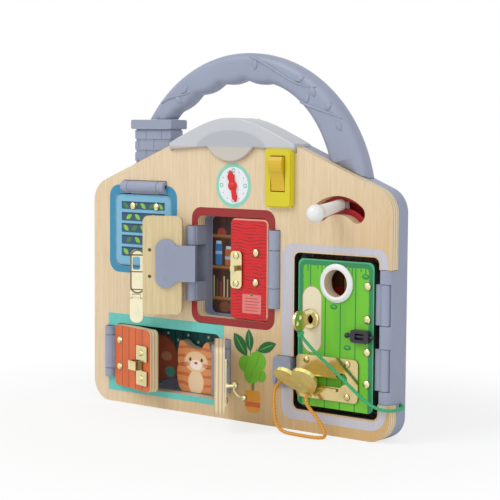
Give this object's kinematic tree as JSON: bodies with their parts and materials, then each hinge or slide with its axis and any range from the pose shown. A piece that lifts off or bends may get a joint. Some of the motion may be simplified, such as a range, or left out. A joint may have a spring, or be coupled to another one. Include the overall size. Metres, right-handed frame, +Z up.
{
  "type": "busy board",
  "caption": "House-shaped wooden busy board with hinged doors, a window flap, latches, a lock with its key, a sliding heart, a lever, a rocker switch and an arched carrying handle.",
  "frame": {"origin": "centre of the base face, which rests on the floor", "axes": "+Z up, +X to the right as the user sees the front, -Y out of the front"},
  "size_m": [0.3063, 0.0816, 0.2939],
  "materials": {
    "plywood": "bare birch plywood, satin",
    "grey_plastic": "moulded, fine matt",
    "frosted_plastic": "frosted",
    "yellow_plastic": "moulded, satin",
    "amber_plastic": "moulded, satin",
    "red_plastic": "moulded, satin",
    "red_wood": "painted plywood with bare edges",
    "blue_wood": "painted plywood with bare edges",
    "orange_wood": "painted plywood with bare edges",
    "green_wood": "painted plywood with bare edges",
    "brass": "polished",
    "steel": "brushed",
    "white_plastic": "moulded, satin",
    "black_plastic": "moulded, matt",
    "lamp_board": "circuit board with lamps",
    "green_cord": "braided",
    "orange_cord": "braided"
  },
  "bodies": {
    "housing": {"front_panel": "plywood", "back_case": "grey_plastic", "battery_cover": "grey_plastic", "carry_handle": "grey_plastic", "chimney": "grey_plastic", "lamp_cap": "frosted_plastic", "lamp_board": "lamp_board", "switch_plate": "yellow_plastic", "lever_plate": "red_plastic", "lever_pin": "steel", "window_pin": "steel", "store_left_pin": "steel", "store_right_pin": "steel", "orange_pin": "steel", "kennel_pin": "steel", "gate_pin": "steel", "key_cord": "green_cord", "heart_cord": "orange_cord"},
    "clock": {"clock_hand": "red_plastic"},
    "rocker": {"switch_rocker": "amber_plastic"},
    "lever": {"lever_stick": "white_plastic"},
    "window": {"window_flap": "blue_wood", "window_hinge": "grey_plastic", "window_rivet_1": "brass", "window_rivet_2": "brass"},
    "store_left": {"store_door_left": "plywood", "store_left_hinge": "grey_plastic", "hasp_base": "brass"},
    "hasp": {"hasp_cover": "brass"},
    "tab": {"hasp_tab": "brass"},
    "store_right": {"store_door_right": "red_wood", "store_right_hinge": "grey_plastic", "store_right_rivet_1": "brass", "store_right_rivet_2": "brass", "catch_plate": "brass"},
    "orange": {"orange_door": "orange_wood", "orange_hinge": "grey_plastic", "orange_rivet_1": "brass", "orange_rivet_2": "brass", "strike_plate": "brass"},
    "kennel": {"kennel_door": "plywood", "kennel_hinge": "grey_plastic", "hook_plate": "brass"},
    "hook": {"swing_hook": "brass"},
    "gate": {"green_door": "green_wood", "gate_hinge": "grey_plastic", "gate_rivet_1": "brass", "gate_rivet_2": "brass", "gate_rivet_3": "brass", "gate_rivet_4": "brass", "porthole_ring": "white_plastic", "lock_cylinder": "brass", "slide_plate": "brass", "bolt_body": "black_plastic"},
    "key": {"door_key": "brass"},
    "heart": {"heart_slider": "brass"},
    "bolt": {"bolt_rod": "steel"},
    "cat": {"cat_figure": "plywood"}
  },
  "joints": [
    {"name": "clock_turn", "type": "hinge", "parent": "housing", "child": "clock", "pos_m": [0.0018, -0.0133, 0.188], "axis": [0, 1, 0], "continuous": true},
    {"name": "rocker_tilt", "type": "hinge", "parent": "housing", "child": "rocker", "pos_m": [0.0491, -0.0183, 0.1986], "axis": [1, 0, 0], "range_deg": [-14, 0]},
    {"name": "lever_swing", "type": "hinge", "parent": "housing", "child": "lever", "pos_m": [0.102, 0, 0.1494], "axis": [0, 1, 0], "range_deg": [-33, 45]},
    {"name": "window_lift", "type": "hinge", "parent": "housing", "child": "window", "pos_m": [-0.0919, -0.0135, 0.1846], "axis": [-1, 0, 0], "range_deg": [0, 11]},
    {"name": "store_left_close", "type": "hinge", "parent": "housing", "child": "store_left", "pos_m": [-0.0406, -0.0135, 0.12], "axis": [0, 0, 1], "range_deg": [0, 150]},
    {"name": "hasp_swing", "type": "hinge", "parent": "store_left", "child": "hasp", "pos_m": [-0.07627, -0.02971, 0.118], "axis": [0, 0, -1], "range_deg": [0, 55]},
    {"name": "tab_swing", "type": "hinge", "parent": "hasp", "child": "tab", "pos_m": [-0.08199, -0.03301, 0.0953], "axis": [-0.866, -0.5, 0], "range_deg": [-40, 30]},
    {"name": "store_right_open", "type": "hinge", "parent": "housing", "child": "store_right", "pos_m": [0.0434, -0.0135, 0.12], "axis": [0, 0, 1], "range_deg": [0, 120]},
    {"name": "orange_open", "type": "hinge", "parent": "housing", "child": "orange", "pos_m": [-0.1306, -0.0135, 0.04], "axis": [0, 0, -1], "range_deg": [-16, 90]},
    {"name": "kennel_close", "type": "hinge", "parent": "housing", "child": "kennel", "pos_m": [-0.005, -0.0135, 0.04], "axis": [0, 0, -1], "range_deg": [0, 128.6]},
    {"name": "hook_swing", "type": "hinge", "parent": "kennel", "child": "hook", "pos_m": [0.02674, -0.05406, 0.036], "axis": [0.7815, 0.6239, 0], "range_deg": [0, 75]},
    {"name": "gate_open", "type": "hinge", "parent": "housing", "child": "gate", "pos_m": [0.1436, -0.0088, 0.08], "axis": [0, 0, 1], "range_deg": [0, 125], "deforming": ["key_cord"]},
    {"name": "key_turn", "type": "hinge", "parent": "gate", "child": "key", "pos_m": [0.0784, -0.02, 0.0882], "axis": [0, 1, 0], "range_deg": [0, 90]},
    {"name": "heart_slide", "type": "slide", "parent": "gate", "child": "heart", "axis": [1, 0, 0], "range_m": [-0.007, 0.02], "deforming": ["heart_cord"]},
    {"name": "bolt_slide", "type": "slide", "parent": "gate", "child": "bolt", "axis": [-1, 0, 0], "range_m": [-0.001, 0.004]},
    {"name": "cat_lift_out", "type": "slide", "parent": "housing", "child": "cat", "axis": [0, 1, 0], "range_m": [-0.045, 0]}
  ]
}
